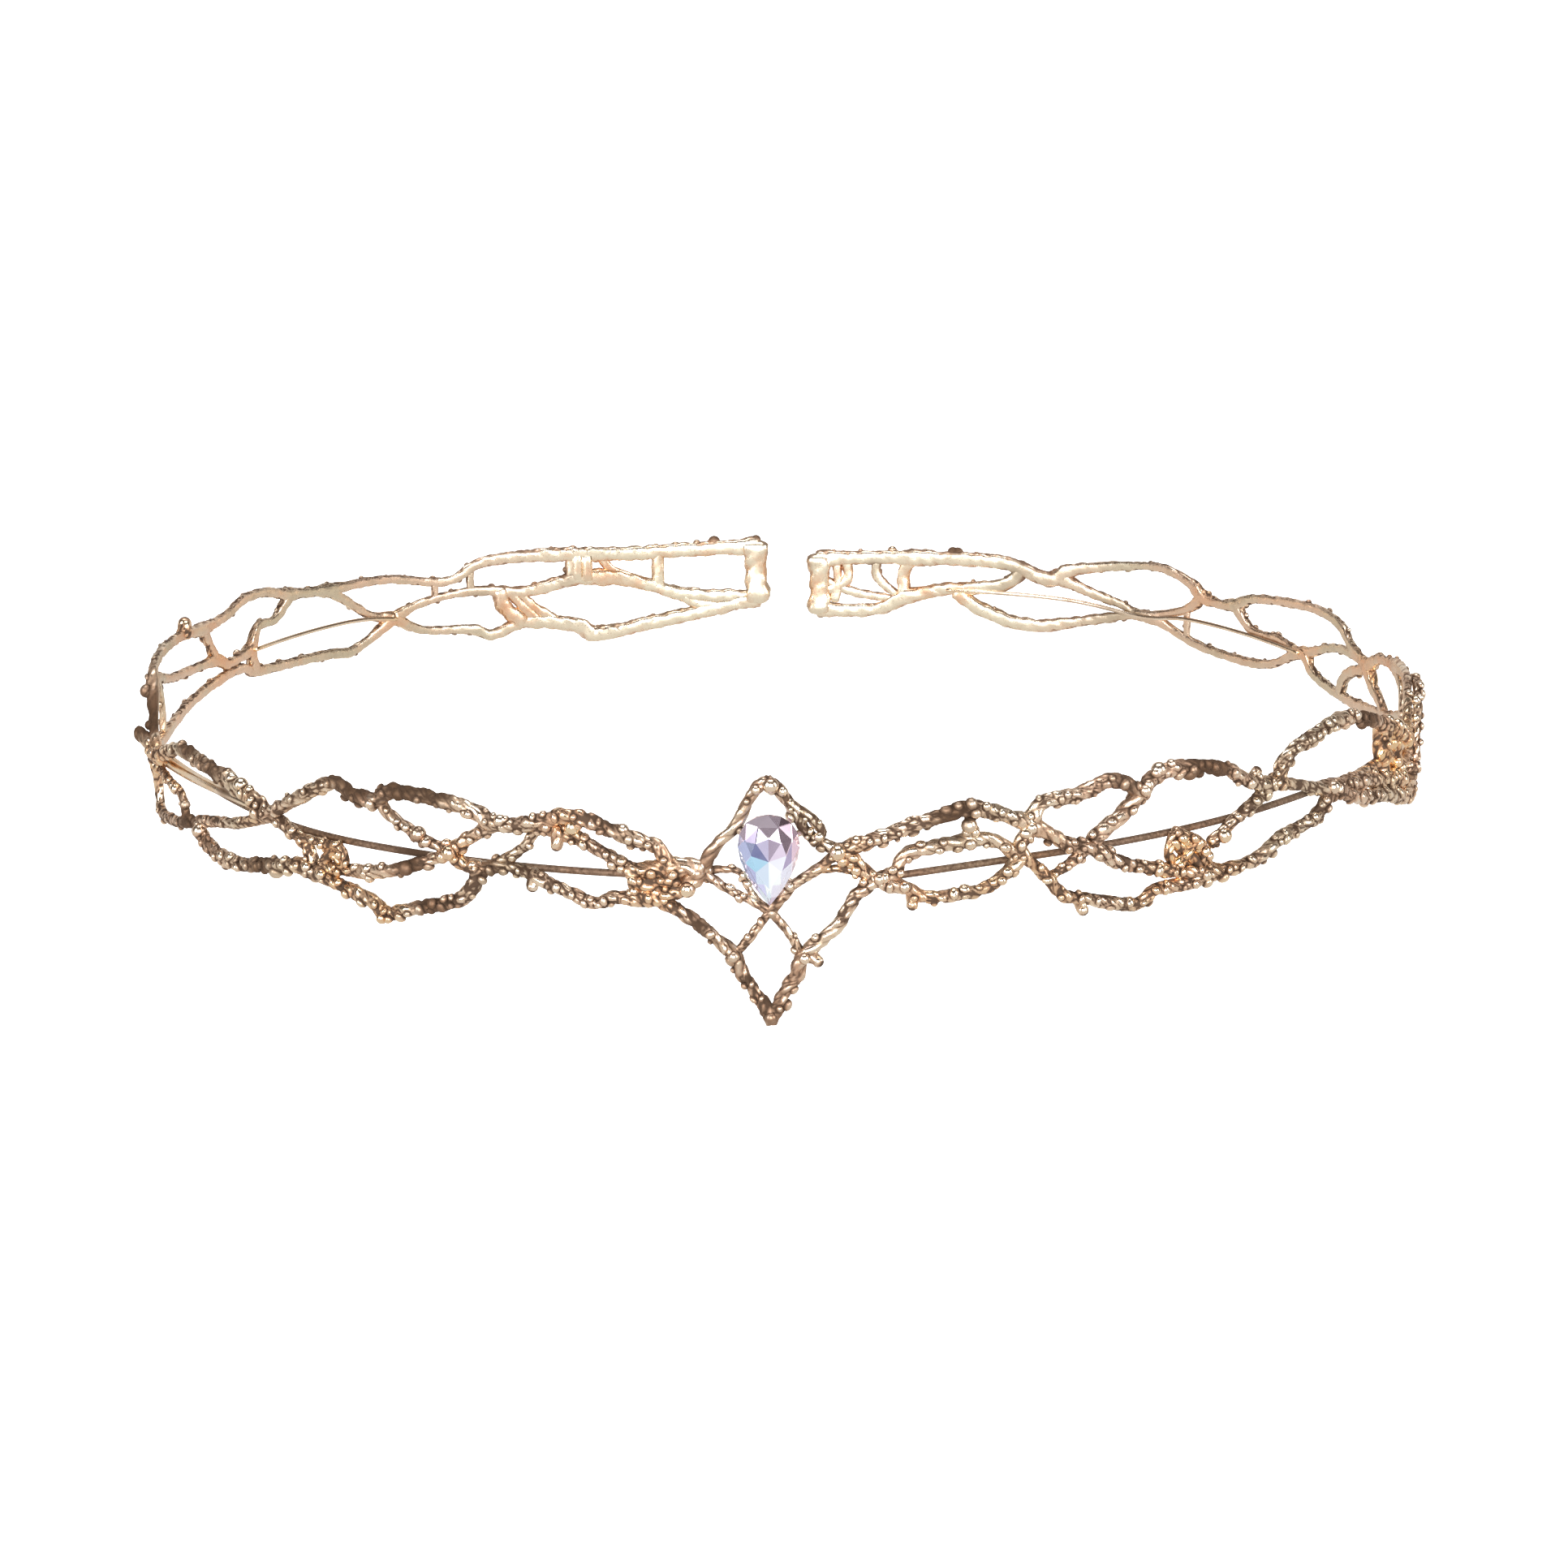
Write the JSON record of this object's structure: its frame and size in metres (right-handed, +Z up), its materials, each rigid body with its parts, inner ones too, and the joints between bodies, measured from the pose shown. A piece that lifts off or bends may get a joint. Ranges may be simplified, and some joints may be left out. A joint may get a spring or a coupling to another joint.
{
  "type": "rhinestone crown",
  "caption": "Open-back circlet crown of pierced, twisted cast vines with a pointed front motif that holds a pear-cut iridescent crystal.",
  "frame": {"origin": "middle of the circlet's box on the surface that it lies on", "axes": "+Z up through the open middle as it lies by itself, the crystal towards -Y, the open ends towards +Y"},
  "size_m": [0.1548, 0.1555, 0.0264],
  "materials": {
    "rose_gold": "polished cast rose-gold plating, darker in the grooves",
    "crystal": "faceted glass with an iridescent coating"
  },
  "bodies": {
    "root": {"circlet_frame": "rose_gold", "pear_crystal": "crystal"}
  },
  "joints": []
}
